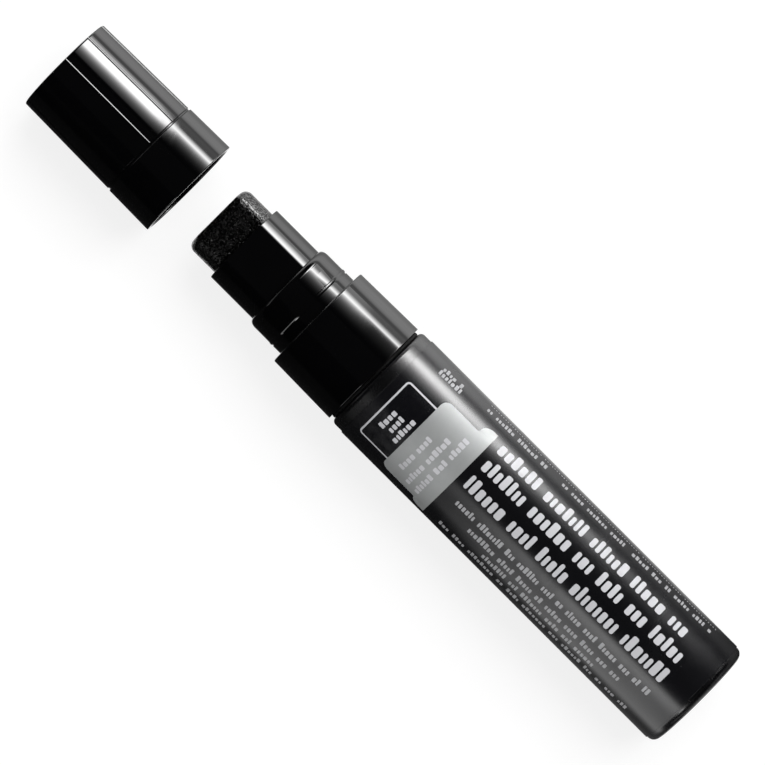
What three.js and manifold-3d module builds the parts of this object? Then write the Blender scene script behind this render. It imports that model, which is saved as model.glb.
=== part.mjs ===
// An extra-wide chalkboard marker, lying on its side with its cap pulled off, as separate pieces.
// Millimetres, +Z up, +X from the cap towards the tail. The origin is on the surface that the
// marker lies on, under the middle of its whole length.
import * as THREE from "three";
import { mergeVertices } from "three/addons/utils/BufferGeometryUtils.js";
import Module from "manifold-3d";

// Facets round each turned piece. One facet faces straight down.
const facets = 60;
const arcSteps = 3;

// Running and seating clearances
const fitGap = 0.05;
const nibFit = 0.15;
const capRunning = 0.15;
const seatGap = 0.3;

// Nib: a felt block with round sides and two flats
const nibWidth = 15;
const nibThickness = 10.4;
const nibLength = 30;
const nibExposed = 6.93;
const nibEdgeRadius = 1.5;
const nibTravel = 2;
const nibSlotDepth = 0.8;

// Holder: the sleeve round the nib, with flats of its own
const holderLength = 10.79;
const holderSpigotWall = 0.75;
const holderSpigotLength = 11.7;
const holderLip = 0.15;
const holderFlats = 14.7;
const holderChamfer = 0.15;
const holderLugLength = 2;
const holderLugWidth = 6;
const holderLugHeight = 0.75;
const holderLugSetback = 5;

// Neck: shoulder, centring lugs and snap bead
const neckLength = 8.23;
const neckWall = 1;
const neckShoulderRadius = 0.9;
const beadHeight = 0.1;
const beadWidth = 0.65;
const beadSetback = 2.2;
const beadGrooveWidth = 0.25;
const beadGrooveDepth = 0.15;
const neckRearStep = 0.05;
const lugCount = 6;
const lugLength = 3.2;
const lugWidth = 1.5;
const lugHeight = 0.09;
const lugSetback = 3.3;

// Collar and the spigot behind it
const collarLength = 14.6;
const collarFrontInset = 0.325;
const collarRearInset = 0.1;
const collarEdgeRadius = 0.25;
const spigotLength = 7.7;
const spigotWall = 1.05;
const spigotChamfer = 0.4;

// Gasket in the groove between collar and barrel
const gasketThickness = 0.68;
const gasketInset = 0.8;

// Barrel and the film round it
const barrelLength = 83.3;
const barrelWall = 1.55;
const barrelShoulderRadius = 1;
const barrelTailRadius = 1.5;
const barrelTailWall = 1.6;
const barrelInsideRadius = 1;
const labelSetback = 2.65;
const labelLength = 78.9;
const labelThickness = 0.15;

// Valve
const valveLedge = 0.45;
const valveFlangeThickness = 1.6;
const valveHole = 6.4;
const skirtDiameter = 12.8;
const skirtWall = 1;
const skirtLength = 5.4;
const seatRingThickness = 1.2;
const seatRingHole = 6;
const pusherInset = 1.5;
const pusherThickness = 1;
const pusherHoleCount = 3;
const pusherHoleDiameter = 2.2;
const pusherHoleCircle = 7.4;
const rodDiameter = 3.6;
const discDiameter = 8.6;
const discThickness = 1.8;
const guideDiameter = 3;
const guideOverrun = 0.6;
const guideChamfer = 0.4;
const guideHole = 4.8;
const cageWall = 0.95;
const cageFloorThickness = 1.2;
const cageWindowCount = 4;
const cageWindowLength = 6;
const cageWindowWidth = 5;
const cageWindowSetback = 1.2;

// Spring
const springLength = 10.4;
const springWire = 0.5;
const springDiameter = 6.8;
const springCurls = 7;
const springStepsPerCurl = 8;
const springSides = 5;

// Mixing ball
const ballDiameter = 7;
const ballRest = 0.5;

// Cap: shell, ribs and liner
const capMouthWall = 0.95;
const capBandLength = 10.06;
const capBandDraft = 0.13;
const capStepHeight = 0.12;
const capStepLength = 0.5;
const capBodyDraft = 0.3;
const capEdgeRadius = 0.35;
const capMouthRadius = 0.2;
const capEndWall = 1.24;
const capRibCount = 10;
const capRibFirst = 5.5;
const capRibRadius = 0.25;
const capRibHeight = 0.12;
const capSnapDepth = 0.15;
const capOffGap = 7.25;
const linerWall = 0.65;
const linerFit = 0.3;
const linerDraft = 0.2;
const linerFloor = 1;
const linerChamfer = 0.2;
const nibHeadroom = 3.77;

// Radii, from the nib outwards
const nibRadius = nibWidth / 2;
const holderBore = nibRadius + nibFit;
const holderSpigotRadius = holderBore + holderSpigotWall;
const neckBore = holderSpigotRadius + fitGap;
const holderRadius = neckBore + holderLip;
const neckRadius = neckBore + neckWall;
const beadRadius = neckRadius + beadHeight;
const valveBore = neckBore + valveLedge;
const spigotRadius = valveBore + spigotWall;
const barrelBore = spigotRadius + fitGap;
const barrelRadius = barrelBore + barrelWall;
const labelBore = barrelRadius + fitGap;
const labelRadius = labelBore + labelThickness;

// Places along the axis, measured from the collar's front face
const neckFront = -neckLength;
const holderFront = neckFront - holderLength;
const nibFront = holderFront - nibExposed;
const nibRear = nibFront + nibLength;
const holderRear = neckFront + holderSpigotLength;
const pusherRear = nibRear + pusherThickness;
const valveFront = pusherRear + nibTravel + seatGap;
const seatFace = valveFront + valveFlangeThickness;
const discFront = seatFace + seatRingThickness;
const discRear = discFront + discThickness;
const springFront = discRear + fitGap;
const cageFloor = springFront + springLength + fitGap;
const cageRear = cageFloor + cageFloorThickness;
const guideRear = cageRear + guideOverrun;
const gasketRear = collarLength + gasketThickness;
const spigotRear = gasketRear + spigotLength;
const barrelRear = gasketRear + barrelLength;
const chamberRear = barrelRear - barrelTailWall;

// Cap sizes. Depths run from the mouth towards the closed end.
const capLength = -nibFront + seatGap + nibHeadroom + linerFloor + capEndWall;
const capBore = beadRadius + capRunning;
const capMouthOuter = capBore + capMouthWall;
const capBandEnd = capMouthOuter - capBandDraft;
const capBodyStart = capBandEnd - capStepHeight;
const capBodyEnd = capBodyStart - capBodyDraft;
const capFloorDepth = capLength - capEndWall;
const linerMouthDepth = neckLength + seatGap;
const linerBore = holderRadius + linerFit;
const linerRadius = linerBore + linerWall;
const linerSeat = linerRadius + fitGap;
const capMouthClosed = -seatGap;
const capMouthOff = nibFront - capOffGap;

// The marker's place in its own frame
const flatToAxis = Math.cos(Math.PI / facets);
const axisHeight = labelRadius * flatToAxis;
const capEndOff = capMouthOff - capLength;
const middle = (capEndOff + barrelRear) / 2;

const wasm = await Module();
wasm.setup();

// A closed mesh as a solid that can be joined and cut
function toSolid(geometry) {
  const bare = geometry.index ? geometry.toNonIndexed() : geometry.clone();
  bare.deleteAttribute("normal");
  bare.deleteAttribute("uv");
  const merged = mergeVertices(bare, 1e-4);
  const index = merged.index.array;
  const kept = [];
  for (let i = 0; i < index.length; i += 3) {
    const [a, b, c] = [index[i], index[i + 1], index[i + 2]];
    if (a !== b && b !== c && c !== a) kept.push(a, b, c);
  }
  const vertProperties = merged.attributes.position.array;
  const triVerts = Uint32Array.from(kept);
  return new wasm.Manifold(new wasm.Mesh({ numProp: 3, vertProperties, triVerts }));
}

// A named mesh of a solid
function piece(name, solid, material) {
  const made = solid.getMesh();
  const position = new Float32Array(made.numVert * 3);
  for (let i = 0; i < made.numVert; i++) {
    const at = i * made.numProp;
    position.set(made.vertProperties.subarray(at, at + 3), i * 3);
  }
  const geometry = new THREE.BufferGeometry();
  geometry.setAttribute("position", new THREE.BufferAttribute(position, 3));
  geometry.setIndex(new THREE.BufferAttribute(made.triVerts, 1));
  geometry.computeVertexNormals();
  const mesh = new THREE.Mesh(geometry, material);
  mesh.name = name;
  return mesh;
}

// A closed profile of [place along the axis, radius] points, turned about the marker's axis
function revolve(profile) {
  const outline = profile.map(([x, r]) => new THREE.Vector2(r, x));
  const outward = THREE.ShapeUtils.area(outline) > 0 ? outline : outline.reverse();
  const turned = new THREE.LatheGeometry([...outward, outward[0].clone()], facets, Math.PI / facets);
  return toSolid(turned.rotateZ(-Math.PI / 2));
}

// A ring between two radii, from one place along the axis to another
function ring(from, to, inner, outer) {
  return revolve([[from, inner], [from, outer], [to, outer], [to, inner]]);
}

// Points of a round corner in a profile, from one angle to another, in degrees
function corner(x, r, radius, from, to) {
  const points = [];
  for (let i = 0; i <= arcSteps; i++) {
    const angle = THREE.MathUtils.degToRad(from + ((to - from) * i) / arcSteps);
    points.push([x + radius * Math.cos(angle), r + radius * Math.sin(angle)]);
  }
  return points;
}

// A block from one place along the axis to another, centred on the axis
function block(from, to, width, height) {
  return new THREE.BoxGeometry(to - from, width, height).translate((from + to) / 2, 0, 0);
}

// The same shape set round the axis a number of times, starting at an angle from the top
function around(count, first, shapeAt) {
  const shapes = [];
  for (let i = 0; i < count; i++) {
    const angle = THREE.MathUtils.degToRad(first + (360 * i) / count);
    shapes.push(toSolid(shapeAt().rotateX(-angle)));
  }
  return shapes;
}

function joinAll(solid, others) {
  return others.reduce((sum, other) => sum.add(other), solid);
}

function cutAll(solid, others) {
  return others.reduce((rest, other) => rest.subtract(other), solid);
}

// Where the holder's lugs sit. The slots in the nib leave them room for the nib's travel.
const lugFront = neckFront + holderLugSetback;
const lugRear = lugFront + holderLugLength;

function nibSolid() {
  const rod = revolve([
    [nibFront, 0],
    ...corner(nibFront + nibEdgeRadius, nibRadius - nibEdgeRadius, nibEdgeRadius, 180, 90),
    [nibRear, nibRadius],
    [nibRear, 0],
  ]);
  const slotFront = lugFront - nibTravel - seatGap;
  const slotRear = lugRear + seatGap;
  const slots = [1, -1].map((side) => {
    const slot = block(slotFront, slotRear, nibWidth * 2, nibSlotDepth * 2);
    return toSolid(slot.translate(0, 0, (side * nibThickness) / 2));
  });
  const flats = toSolid(block(nibFront - 1, nibRear + 1, nibWidth * 2, nibThickness));
  return cutAll(rod.intersect(flats), slots);
}

function holderSolid() {
  const sleeve = revolve([
    [holderFront, 0],
    [holderFront, holderRadius - holderChamfer],
    [holderFront + holderChamfer, holderRadius],
    [neckFront, holderRadius],
    [neckFront, 0],
  ]);
  const flats = toSolid(block(holderFront - 1, neckFront + 1, holderRadius * 4, holderFlats));
  const spigot = ring(neckFront, holderRear, 0, holderSpigotRadius);
  const boreRod = ring(holderFront - 1, holderRear + 1, 0, holderBore);
  const boreFlats = block(holderFront - 2, holderRear + 2, nibWidth * 2, nibThickness + 2 * nibFit);
  const bore = boreRod.intersect(toSolid(boreFlats));
  const lugs = [1, -1].map((side) => {
    const lug = block(lugFront, lugRear, holderLugWidth, holderLugHeight * 2);
    return toSolid(lug.translate(0, 0, side * (nibThickness / 2 + nibFit)));
  });
  return joinAll(sleeve.intersect(flats).add(spigot).subtract(bore), lugs);
}

function housingSolid() {
  const rearNeck = neckRadius + neckRearStep;
  const grooveFloor = rearNeck - beadGrooveDepth;
  const beadRear = -beadSetback;
  const beadFront = beadRear - beadWidth;
  const collarFront = barrelRadius - collarFrontInset;
  const collarRear = barrelRadius - collarRearInset;
  const turned = revolve([
    [neckFront, neckBore],
    ...corner(neckFront + neckShoulderRadius, neckRadius - neckShoulderRadius, neckShoulderRadius, 180, 90),
    [beadFront - beadHeight, neckRadius],
    [beadFront, beadRadius],
    [beadRear, beadRadius],
    [beadRear, grooveFloor],
    [beadRear + beadGrooveWidth, grooveFloor],
    [beadRear + beadGrooveWidth, rearNeck],
    [0, rearNeck],
    ...corner(collarEdgeRadius, collarFront - collarEdgeRadius, collarEdgeRadius, 180, 90),
    [collarLength, collarRear],
    [collarLength, spigotRadius],
    [spigotRear - spigotChamfer, spigotRadius],
    [spigotRear, spigotRadius - spigotChamfer],
    [spigotRear, valveBore],
    [valveFront, valveBore],
    [valveFront, neckBore],
  ]);
  const lugEnd = -lugSetback;
  const lugs = around(lugCount, 180 / lugCount, () => {
    const lug = block(lugEnd - lugLength, lugEnd, lugWidth, neckWall);
    return lug.translate(0, 0, neckRadius + lugHeight - neckWall / 2);
  });
  return joinAll(turned, lugs);
}

function barrelSolid() {
  const shoulder = barrelShoulderRadius;
  const tail = barrelTailRadius;
  const inside = barrelInsideRadius;
  return revolve([
    [chamberRear, 0],
    ...corner(chamberRear - inside, barrelBore - inside, inside, 0, 90),
    [gasketRear, barrelBore],
    ...corner(gasketRear + shoulder, barrelRadius - shoulder, shoulder, 180, 90),
    ...corner(barrelRear - tail, barrelRadius - tail, tail, 90, 0),
    [barrelRear, 0],
  ]);
}

function labelSolid() {
  const front = gasketRear + labelSetback;
  return ring(front, front + labelLength, labelBore, labelRadius);
}

function gasketSolid() {
  return ring(collarLength, gasketRear, spigotRadius + fitGap, barrelRadius - gasketInset);
}

// Flange, valve opening and the skirt that the cage clips over
function valveHousingSolid() {
  const skirtRadius = skirtDiameter / 2;
  const skirtRear = seatFace + skirtLength;
  return revolve([
    [valveFront, valveHole / 2],
    [valveFront, valveBore - fitGap],
    [seatFace, valveBore - fitGap],
    [seatFace, skirtRadius],
    [skirtRear, skirtRadius],
    [skirtRear, skirtRadius - skirtWall],
    [seatFace, skirtRadius - skirtWall],
    [seatFace, valveHole / 2],
  ]);
}

function seatRingSolid() {
  const outer = skirtDiameter / 2 - skirtWall - fitGap;
  return ring(seatFace, discFront, seatRingHole / 2, outer);
}

// Pusher behind the nib, rod through the valve opening, valve disc and guide rod
function stemSolid() {
  const turned = revolve([
    [nibRear, 0],
    [nibRear, nibRadius - pusherInset],
    [pusherRear, nibRadius - pusherInset],
    [pusherRear, rodDiameter / 2],
    [discFront, rodDiameter / 2],
    [discFront, discDiameter / 2],
    [discRear, discDiameter / 2],
    [discRear, guideDiameter / 2],
    [guideRear - guideChamfer, guideDiameter / 2],
    [guideRear, guideDiameter / 2 - guideChamfer],
    [guideRear, 0],
  ]);
  const holes = around(pusherHoleCount, 0, () => {
    const length = pusherThickness * 2;
    const hole = new THREE.CylinderGeometry(pusherHoleDiameter / 2, pusherHoleDiameter / 2, length, 12);
    const middlePlace = (nibRear + pusherRear) / 2;
    return hole.rotateZ(-Math.PI / 2).translate(middlePlace, 0, pusherHoleCircle / 2);
  });
  return cutAll(turned, holes);
}

function cageSolid() {
  const inner = skirtDiameter / 2 + fitGap;
  const outer = inner + cageWall;
  const cup = revolve([
    [seatFace, inner],
    [seatFace, outer],
    [cageRear, outer],
    [cageRear, guideHole / 2],
    [cageFloor, guideHole / 2],
    [cageFloor, inner],
  ]);
  const windowRear = cageFloor - cageWindowSetback;
  const windows = around(cageWindowCount, 180 / cageWindowCount, () => {
    const opening = block(windowRear - cageWindowLength, windowRear, cageWindowWidth, outer);
    return opening.translate(0, 0, outer);
  });
  return cutAll(cup, windows);
}

// The spring's centre line: a helix whose ends run straight on for one wire diameter
function springPath() {
  const radius = springDiameter / 2;
  const steps = springCurls * springStepsPerCurl;
  const rise = springLength - springWire;
  const helix = [];
  for (let i = 0; i <= steps; i++) {
    const angle = (2 * Math.PI * i) / springStepsPerCurl;
    const x = springFront + springWire / 2 + (rise * i) / steps;
    helix.push(new THREE.Vector3(x, radius * Math.sin(angle), radius * Math.cos(angle)));
  }
  const ahead = new THREE.Vector3(0, -springWire, 0);
  const beyond = new THREE.Vector3(0, springWire, 0);
  return [helix[0].clone().add(ahead), ...helix, helix[steps].clone().add(beyond)];
}

// A tube of few sides round the spring's centre line, closed at both ends
function springSolid() {
  const path = springPath();
  const position = [];
  for (const [i, point] of path.entries()) {
    const before = path[Math.max(i - 1, 0)];
    const after = path[Math.min(i + 1, path.length - 1)];
    const along = after.clone().sub(before).normalize();
    const out = new THREE.Vector3(0, point.y, point.z);
    out.addScaledVector(along, -out.dot(along)).normalize();
    const side = new THREE.Vector3().crossVectors(along, out);
    for (let k = 0; k < springSides; k++) {
      const turn = (2 * Math.PI * k) / springSides;
      const spoke = out.clone().multiplyScalar(Math.cos(turn)).addScaledVector(side, Math.sin(turn));
      position.push(...point.clone().addScaledVector(spoke, springWire / 2).toArray());
    }
  }
  const index = [];
  for (let i = 0; i + 1 < path.length; i++) {
    for (let k = 0; k < springSides; k++) {
      const next = (k + 1) % springSides;
      const [a, b] = [i * springSides + k, i * springSides + next];
      index.push(a, b, a + springSides, b, b + springSides, a + springSides);
    }
  }
  const last = (path.length - 1) * springSides;
  for (let k = 1; k + 1 < springSides; k++) {
    index.push(0, k + 1, k, last, last + k, last + k + 1);
  }
  const tube = new THREE.BufferGeometry();
  tube.setAttribute("position", new THREE.Float32BufferAttribute(position, 3));
  tube.setIndex(index);
  return toSolid(tube);
}

// The least gap between two neighbouring curls of the spring, measured on the path's points
function springGap() {
  const path = springPath();
  let least = Infinity;
  for (let i = 0; i < path.length; i++) {
    for (let j = i + springStepsPerCurl / 2; j < path.length; j++) {
      least = Math.min(least, path[i].distanceTo(path[j]) - springWire);
    }
  }
  return least;
}

// The cap's profile point at a depth from its mouth, with the cap pushed home
function capPoint(depth, radius) {
  return [capMouthClosed - depth, radius];
}

function capShellSolid() {
  const snapMiddle = beadSetback + beadWidth / 2 - seatGap;
  const snapHalf = beadWidth / 2 + capSnapDepth;
  const linerSeatEnd = linerSeat - linerDraft;
  const edge = capEdgeRadius;
  const turned = revolve([
    capPoint(capFloorDepth, 0),
    capPoint(capFloorDepth, linerSeatEnd),
    capPoint(linerMouthDepth, linerSeat),
    capPoint(linerMouthDepth, capBore),
    capPoint(snapMiddle + snapHalf, capBore),
    capPoint(snapMiddle + snapHalf - capSnapDepth, capBore + capSnapDepth),
    capPoint(snapMiddle - snapHalf + capSnapDepth, capBore + capSnapDepth),
    capPoint(snapMiddle - snapHalf, capBore),
    capPoint(capMouthRadius, capBore),
    capPoint(0, capBore + capMouthRadius),
    capPoint(0, capMouthOuter - capMouthRadius),
    capPoint(capMouthRadius, capMouthOuter),
    capPoint(capBandLength, capBandEnd),
    capPoint(capBandLength + capStepLength, capBodyStart),
    ...corner(capMouthClosed - capLength + edge, capBodyEnd - edge, edge, 90, 180),
    capPoint(capLength, 0),
  ]);
  return joinAll(turned, capRibs());
}

// Fine half-round ribs along the cap's body, leaning in with its draft
function capRibs() {
  const from = capBandLength + capStepLength / 2;
  const to = capLength - capEdgeRadius;
  const lean = Math.atan2(capBodyDraft, capLength - capBandLength - capStepLength);
  const sunk = capRibRadius - capRibHeight;
  const centre = (capBodyStart + capBodyEnd) / 2 - sunk;
  return around(capRibCount, capRibFirst, () => {
    const rib = new THREE.CylinderGeometry(capRibRadius, capRibRadius, to - from, 10);
    rib.rotateZ(-Math.PI / 2).rotateY(-lean);
    return rib.translate(capMouthClosed - (from + to) / 2, 0, centre);
  });
}

function linerSolid() {
  return revolve([
    capPoint(capFloorDepth - linerFloor, 0),
    capPoint(capFloorDepth - linerFloor, linerBore - linerDraft),
    capPoint(linerMouthDepth + linerChamfer, linerBore),
    capPoint(linerMouthDepth, linerBore + linerChamfer),
    capPoint(linerMouthDepth, linerRadius),
    capPoint(capFloorDepth, linerRadius - linerDraft),
    capPoint(capFloorDepth, 0),
  ]);
}

function finish(color, roughness, metalness = 0) {
  return new THREE.MeshStandardMaterial({ color, roughness, metalness });
}

const glossBlack = finish(0x0b0b0c, 0.12);
const satinBlack = finish(0x18181b, 0.35);
const labelFilm = finish(0x1b1b1f, 0.4);
const blackFelt = finish(0x0d0d0d, 0.95);
const naturalPlastic = finish(0xdcdcd6, 0.45);
const blackRubber = finish(0x151515, 0.7);
const steel = finish(0xb8b8b8, 0.25, 1);

// Pieces that stay with the barrel
const body = new THREE.Group();
body.add(
  piece("barrel", barrelSolid(), satinBlack),
  piece("label_sleeve", labelSolid(), labelFilm),
  piece("barrel_gasket", gasketSolid(), blackRubber),
  piece("front_housing", housingSolid(), glossBlack),
  piece("nib_holder", holderSolid(), glossBlack),
  piece("valve_housing", valveHousingSolid(), naturalPlastic),
  piece("valve_seat_ring", seatRingSolid(), blackRubber),
  piece("valve_cage", cageSolid(), naturalPlastic),
  piece("valve_spring", springSolid(), steel),
);

// Pieces that the writing pressure pushes back
body.add(piece("nib", nibSolid(), blackFelt), piece("valve_stem", stemSolid(), naturalPlastic));

// The ball lies on the chamber's lowest line, part of the way along it
const ballRadius = ballDiameter / 2;
const ball = piece("mixing_ball", toSolid(new THREE.SphereGeometry(ballRadius, 20, 12)), steel);
const ballFront = cageRear + ballRadius + seatGap;
const ballRear = chamberRear - ballRadius - seatGap;
const ballX = ballFront + (ballRear - ballFront) * ballRest;
ball.position.set(ballX, 0, -(barrelBore * flatToAxis - ballRadius - fitGap));
body.add(ball);

// The cap is modelled pushed home and then drawn off along the axis
const cap = new THREE.Group();
cap.add(piece("cap_shell", capShellSolid(), glossBlack), piece("inner_cap", linerSolid(), naturalPlastic));
cap.position.x = capMouthOff - capMouthClosed;

const marker = new THREE.Group();
marker.add(body, cap);
marker.position.set(-middle, 0, axisHeight);

console.log("least gap between the spring's curls:", springGap().toFixed(2), "mm");
console.log("cap's way home:", (capMouthClosed - capMouthOff).toFixed(2), "mm");
console.log("ball's way:", (ballFront - ballX).toFixed(2), "to", (ballRear - ballX).toFixed(2), "mm");

export default marker;
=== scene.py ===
import random
from functools import partial
from math import cos, degrees, exp, floor, hypot, pi, radians, sin

import bmesh
import bpy
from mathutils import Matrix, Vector


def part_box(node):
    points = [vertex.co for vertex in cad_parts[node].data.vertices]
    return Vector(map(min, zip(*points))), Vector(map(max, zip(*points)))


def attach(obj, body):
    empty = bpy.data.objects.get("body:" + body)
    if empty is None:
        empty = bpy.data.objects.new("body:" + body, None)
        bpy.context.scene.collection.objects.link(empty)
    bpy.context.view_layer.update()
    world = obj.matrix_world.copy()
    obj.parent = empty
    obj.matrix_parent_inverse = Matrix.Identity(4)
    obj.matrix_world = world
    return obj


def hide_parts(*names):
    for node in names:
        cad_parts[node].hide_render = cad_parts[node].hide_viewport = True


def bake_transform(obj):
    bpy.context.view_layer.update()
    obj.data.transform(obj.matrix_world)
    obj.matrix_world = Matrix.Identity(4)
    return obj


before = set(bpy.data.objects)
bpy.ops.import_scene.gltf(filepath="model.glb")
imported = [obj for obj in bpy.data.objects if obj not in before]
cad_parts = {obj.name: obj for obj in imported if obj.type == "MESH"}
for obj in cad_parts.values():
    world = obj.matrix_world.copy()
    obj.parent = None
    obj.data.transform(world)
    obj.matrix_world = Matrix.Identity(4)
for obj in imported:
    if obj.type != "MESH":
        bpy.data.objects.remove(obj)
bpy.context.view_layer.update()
print("frame loaded")

mm = 0.001
barrelLow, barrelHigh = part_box("barrel")
axisHeight = (barrelLow.z + barrelHigh.z) / 2 / mm
scene = bpy.context.scene


# Mesh helpers, in millimetres: x along the axis, r away from it

def pick(values, names):
    return [values[name] for name in names.split()]


# Front and rear of a CAD node along the axis
def ends(node):
    low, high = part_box(node)
    return low.x / mm, high.x / mm


def arc(x, y, across, along, start, end, steps=8):
    points = []
    for i in range(steps + 1):
        angle = radians(start + (end - start) * i / steps)
        points.append((x + across * cos(angle), y + along * sin(angle)))
    return points


def roundCorner(x, r, radius, start, end, steps=8):
    return arc(x, r, radius, radius, start, end, steps)


# Rings close to the ends of each long stretch keep its shading true
def supported(profile, inset=0.05):
    closer = []
    for (xa, ra), (xb, rb) in zip(profile, profile[1:] + profile[:1]):
        closer.append((xa, ra))
        length = hypot(xb - xa, rb - ra)
        if length > 8 * inset and ra + rb > 0:
            for share in (inset / length, 1 - inset / length):
                closer.append((xa + (xb - xa) * share, ra + (rb - ra) * share))
    return closer


def linked(name, mesh):
    piece = bpy.data.objects.new(name, mesh)
    scene.collection.objects.link(piece)
    return piece


def finished(name, shape, material, sharpAngle=32):
    mesh = bpy.data.meshes.new(name)
    bmesh.ops.recalc_face_normals(shape, faces=shape.faces)
    shape.to_mesh(mesh)
    shape.free()
    mesh.materials.append(material)
    mesh.shade_smooth()
    mesh.set_sharp_from_angle(angle=radians(sharpAngle))
    return linked(name, mesh)


# A closed profile turned about the marker's axis. swell adds height by place and angle.
def turned(name, profile, material, steps=256, swell=None):
    shape = bmesh.new()
    rings = []
    for x, r in supported(profile):
        if r < 1e-6:  # on the axis the whole ring is one point
            rings.append([shape.verts.new((x * mm, 0, axisHeight * mm))] * steps)
            continue
        ring = []
        for k in range(steps):
            angle = 2 * pi * k / steps
            reach = r + (swell(x, r, angle) if swell else 0)
            y, z = reach * sin(angle), axisHeight + reach * cos(angle)
            ring.append(shape.verts.new((x * mm, y * mm, z * mm)))
        rings.append(ring)
    for ring, following in zip(rings, rings[1:] + rings[:1]):
        for k in range(steps):
            after = (k + 1) % steps
            corners = list(dict.fromkeys((ring[k], ring[after], following[after], following[k])))
            if len(corners) > 2:
                shape.faces.new(corners)
    return finished(name, shape, material)


def addBlock(shape, size, centre):
    for vert in bmesh.ops.create_cube(shape, size=1)["verts"]:
        vert.co = Vector(a * b + c for a, b, c in zip(vert.co, size, centre)) * mm


def installed(piece, body, slot, *nodes):
    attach(piece, body)
    if nodes:
        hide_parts(*nodes)
    return piece


# The result of a piece's modifiers as a plain mesh
def settled(piece):
    graph = bpy.context.evaluated_depsgraph_get()
    graph.update()
    made = bpy.data.meshes.new_from_object(piece.evaluated_get(graph), depsgraph=graph)
    made.name = piece.name
    piece.modifiers.clear()
    piece.data = made
    return piece


# Node helpers

def feed(tree, socket, value):
    if isinstance(value, bpy.types.NodeSocket):
        tree.links.new(value, socket)
    else:
        socket.default_value = value


# Adds a node and gives back its outputs. A kind without a family is a shader node.
def addNode(tree, kind, inputs=None, **settings):
    node = tree.nodes.new(kind if "Node" in kind else "ShaderNode" + kind)
    for key, value in settings.items():
        setattr(node, key, value)
    for key, value in (inputs or {}).items():
        feed(tree, node.inputs[key], value)
    return node.outputs


def calculate(tree, operation, *values):
    return addNode(tree, "Math", dict(enumerate(values)), operation=operation)[0]


def numberMix(tree, share, first, second):
    return addNode(tree, "Mix", {0: share, 2: first, 3: second})[0]


def colourMix(tree, share, first, second):
    return addNode(tree, "Mix", {0: share, 6: first, 7: second}, data_type="RGBA")[2]


def mapped(tree, value, low, high, start=0.0, end=1.0, **settings):
    inputs = {0: value, 1: low, 2: high, 3: start, 4: end}
    return addNode(tree, "MapRange", inputs, **settings)[0]


def noise(tree, vector, scale, detail, **more):
    inputs = {"Vector": vector, "Scale": scale, "Detail": detail, **more}
    return addNode(tree, "TexNoise", inputs)[0]


def combined(tree, x=0.0, y=0.0, z=0.0):
    return addNode(tree, "CombineXYZ", {"X": x, "Y": y, "Z": z})[0]


# inputs gives each socket's first value, or its kind where it has none
def newGroup(name, kind, inputs, outputs):
    tree = bpy.data.node_groups.new(name, kind)
    for title, value in inputs.items():
        socketType = {float: "Float", int: "Int"}.get(type(value), value)
        socket = tree.interface.new_socket(title, in_out="INPUT", socket_type="NodeSocket" + socketType)
        if socketType != value:
            socket.default_value = value
    for title, socketType in outputs.items():
        tree.interface.new_socket(title, in_out="OUTPUT", socket_type="NodeSocket" + socketType)
    given, result = tree.nodes.new("NodeGroupInput").outputs, tree.nodes.new("NodeGroupOutput").inputs
    return tree, given, result, partial(calculate, tree)


def useGroup(tree, group, inputs):
    return addNode(tree, "Group", inputs, node_tree=group)


# Shared surface effects

# Fine moulding texture: a soft mottle with a finer grain on top
def makeMouldGrain():
    tree, given, result, do = newGroup("mouldGrain", "ShaderNodeTree", {
        "Vector": "Vector", "Grain Size": 0.0004, "Mottle Size": 0.006, "Mottle Share": 0.5,
    }, {"Height": "Float", "Mottle": "Float"})
    grain = noise(tree, given["Vector"], do("DIVIDE", 1, given["Grain Size"]), 2.0)
    mottle = noise(tree, given["Vector"], do("DIVIDE", 1, given["Mottle Size"]), 3.0)
    feed(tree, result["Height"], numberMix(tree, given["Mottle Share"], grain, mottle))
    feed(tree, result["Mottle"], mottle)
    return tree


handling = {
    "smearFrom": 0.5, "smearTo": 0.72, "smearRoughness": 0.62, "smearDistortion": 0.6, "lineFrom": 0.66,
    "lineTo": 0.72, "lineTurn": (0.2, 0.35, 0.5), "lineScale": (90.0, 2600.0, 2600.0),
}


# Handling marks: faint smears and hairlines. 0 is clean and 1 is marked.
def makeHandling():
    tree, given, result, do = newGroup("handlingMarks", "ShaderNodeTree", {
        "Vector": "Vector", "Smear Size": 0.012, "Hairline Share": 0.5,
    }, {"Marks": "Float"})
    smear = noise(tree, given["Vector"], do("DIVIDE", 1, given["Smear Size"]), 5.0,
                  Roughness=handling["smearRoughness"], Distortion=handling["smearDistortion"])
    smears = mapped(tree, smear, handling["smearFrom"], handling["smearTo"], interpolation_type="SMOOTHSTEP")
    stretch = addNode(tree, "Mapping", {
        "Vector": given["Vector"], "Rotation": handling["lineTurn"], "Scale": handling["lineScale"],
    })
    lines = mapped(tree, noise(tree, stretch[0], 1.0, 1.0), handling["lineFrom"], handling["lineTo"])
    hairlines = do("MULTIPLY", lines, given["Hairline Share"])
    feed(tree, result["Marks"], do("MAXIMUM", smears, hairlines))
    return tree


# Sparse specks of dust
def makeSpecks():
    tree, given, result, do = newGroup("specks", "ShaderNodeTree", {
        "Vector": "Vector", "Spacing": 0.003, "Radius": 0.1, "Share": 0.3,
    }, {"Mask": "Float"})
    scale = do("DIVIDE", 1, given["Spacing"])
    cells = addNode(tree, "TexVoronoi", {"Vector": given["Vector"], "Scale": scale})
    near = do("LESS_THAN", cells["Distance"], given["Radius"])
    chosen = addNode(tree, "SeparateColor", {0: cells["Color"]})
    picked = do("LESS_THAN", chosen[0], given["Share"])
    feed(tree, result["Mask"], do("MULTIPLY", near, picked))
    return tree


mouldGrain = makeMouldGrain()
handlingMarks = makeHandling()
specks = makeSpecks()


# Materials

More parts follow.
